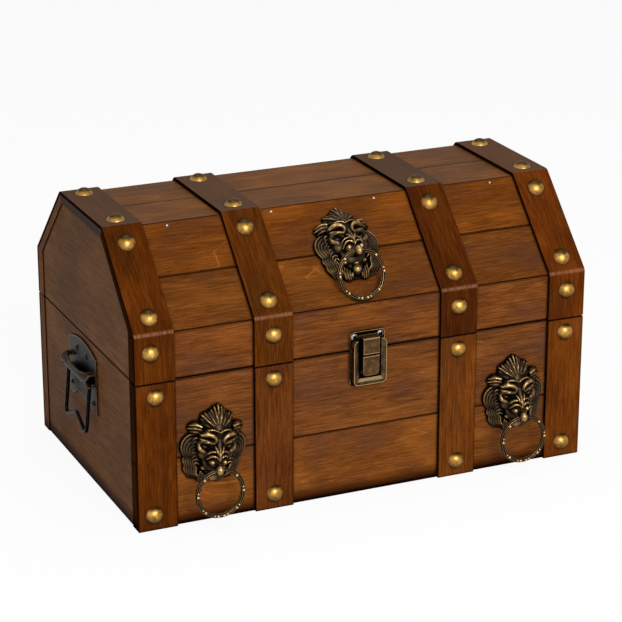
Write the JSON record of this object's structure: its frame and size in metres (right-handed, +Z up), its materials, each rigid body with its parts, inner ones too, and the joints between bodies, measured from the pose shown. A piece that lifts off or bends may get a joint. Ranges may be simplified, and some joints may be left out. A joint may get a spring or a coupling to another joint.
{
  "type": "treasure chest",
  "caption": "Small wooden treasure chest: hinged hipped lid, nailed wooden straps, lion-head ring pulls, drop handles and a front lever latch.",
  "frame": {"origin": "centre of the flat bottom face that the chest stands on", "axes": "+X along the chest's length to its right, the front with the latch faces -Y, +Z up"},
  "size_m": [0.3732, 0.2412, 0.2138],
  "materials": {
    "plank_wood": "stained and satin varnished, open grain",
    "strap_wood": "dark stained and satin varnished",
    "nail_brass": "domed, aged and polished by handling",
    "pull_bronze": "antique bronze with worn highlights",
    "latch_brass": "brushed antique brass",
    "hinge_brass": "antique brass sheet",
    "handle_iron": "blackened, copper-brown where worn",
    "screw_steel": "bright zinc"
  },
  "bodies": {
    "base": {"base_back_lower_plank": "plank_wood", "base_back_strap_1": "strap_wood", "base_back_strap_2": "strap_wood", "base_back_strap_3": "strap_wood", "base_back_strap_4": "strap_wood", "base_back_upper_plank": "plank_wood", "base_bottom": "plank_wood", "base_front_lower_plank": "plank_wood", "base_front_strap_1": "strap_wood", "base_front_strap_2": "strap_wood", "base_front_strap_3": "strap_wood", "base_front_strap_4": "strap_wood", "base_front_upper_plank": "plank_wood", "base_left_end": "plank_wood", "base_nails": "nail_brass", "base_right_end": "plank_wood", "handle_left_plate": "handle_iron", "handle_right_plate": "handle_iron", "handle_screws": "handle_iron", "hinge_base_leaf_left": "hinge_brass", "hinge_base_leaf_right": "hinge_brass", "hinge_base_screws": "hinge_brass", "hinge_pins": "hinge_brass", "latch_base_plate": "latch_brass", "latch_base_screws": "screw_steel", "latch_pivot_pins": "latch_brass", "lion_base_screws": "screw_steel", "lion_head_left": "pull_bronze", "lion_head_right": "pull_bronze"},
    "lid": {"lid_back_slope_lower": "plank_wood", "lid_back_slope_upper": "plank_wood", "lid_back_top": "plank_wood", "lid_back_wall": "plank_wood", "lid_brads": "screw_steel", "lid_front_slope_lower": "plank_wood", "lid_front_slope_upper": "plank_wood", "lid_front_top": "plank_wood", "lid_front_wall": "plank_wood", "lid_left_end": "plank_wood", "lid_nails": "nail_brass", "lid_right_end": "plank_wood", "lid_strap_1": "strap_wood", "lid_strap_2": "strap_wood", "lid_strap_3": "strap_wood", "lid_strap_4": "strap_wood", "hinge_lid_leaf_left": "hinge_brass", "hinge_lid_leaf_right": "hinge_brass", "hinge_lid_screws": "hinge_brass", "latch_keeper": "latch_brass", "latch_keeper_screws": "screw_steel", "lion_head_lid": "pull_bronze", "lion_lid_screw": "screw_steel"},
    "ring_left": {"lion_ring_left": "pull_bronze"},
    "ring_right": {"lion_ring_right": "pull_bronze"},
    "ring_lid": {"lion_ring_lid": "pull_bronze"},
    "bail_left": {"handle_left_bail": "handle_iron"},
    "bail_right": {"handle_right_bail": "handle_iron"},
    "lever": {"latch_lever": "latch_brass"},
    "link": {"latch_link": "latch_brass"}
  },
  "joints": [
    {"name": "lid_hinge", "type": "hinge", "parent": "base", "child": "lid", "pos_m": [0, 0.1085, 0.1115], "axis": [-1, 0, 0], "range_deg": [0, 110]},
    {"name": "ring_left_swing", "type": "hinge", "parent": "base", "child": "ring_left", "pos_m": [-0.12237, -0.125, 0.045], "axis": [-1, 0, 0], "range_deg": [-25, 100]},
    {"name": "ring_right_swing", "type": "hinge", "parent": "base", "child": "ring_right", "pos_m": [0.12077, -0.125, 0.045], "axis": [-1, 0, 0], "range_deg": [-25, 100]},
    {"name": "ring_lid_swing", "type": "hinge", "parent": "lid", "child": "ring_lid", "pos_m": [-0.002, -0.0961, 0.18377], "axis": [-1, 0, 0], "range_deg": [0, 128]},
    {"name": "bail_left_swing", "type": "hinge", "parent": "base", "child": "bail_left", "pos_m": [-0.1814, 0.005, 0.08201], "axis": [0, 1, 0], "range_deg": [-4, 84]},
    {"name": "bail_right_swing", "type": "hinge", "parent": "base", "child": "bail_right", "pos_m": [0.1814, 0.005, 0.08201], "axis": [0, -1, 0], "range_deg": [-4, 84]},
    {"name": "latch_lever_swing", "type": "hinge", "parent": "base", "child": "lever", "pos_m": [0, -0.1108, 0.1172], "axis": [-1, 0, 0], "range_deg": [0, 120]},
    {"name": "latch_link_swing", "type": "hinge", "parent": "lever", "child": "link", "pos_m": [0, -0.1108, 0.096], "axis": [1, 0, 0], "range_deg": [0, 30]}
  ]
}
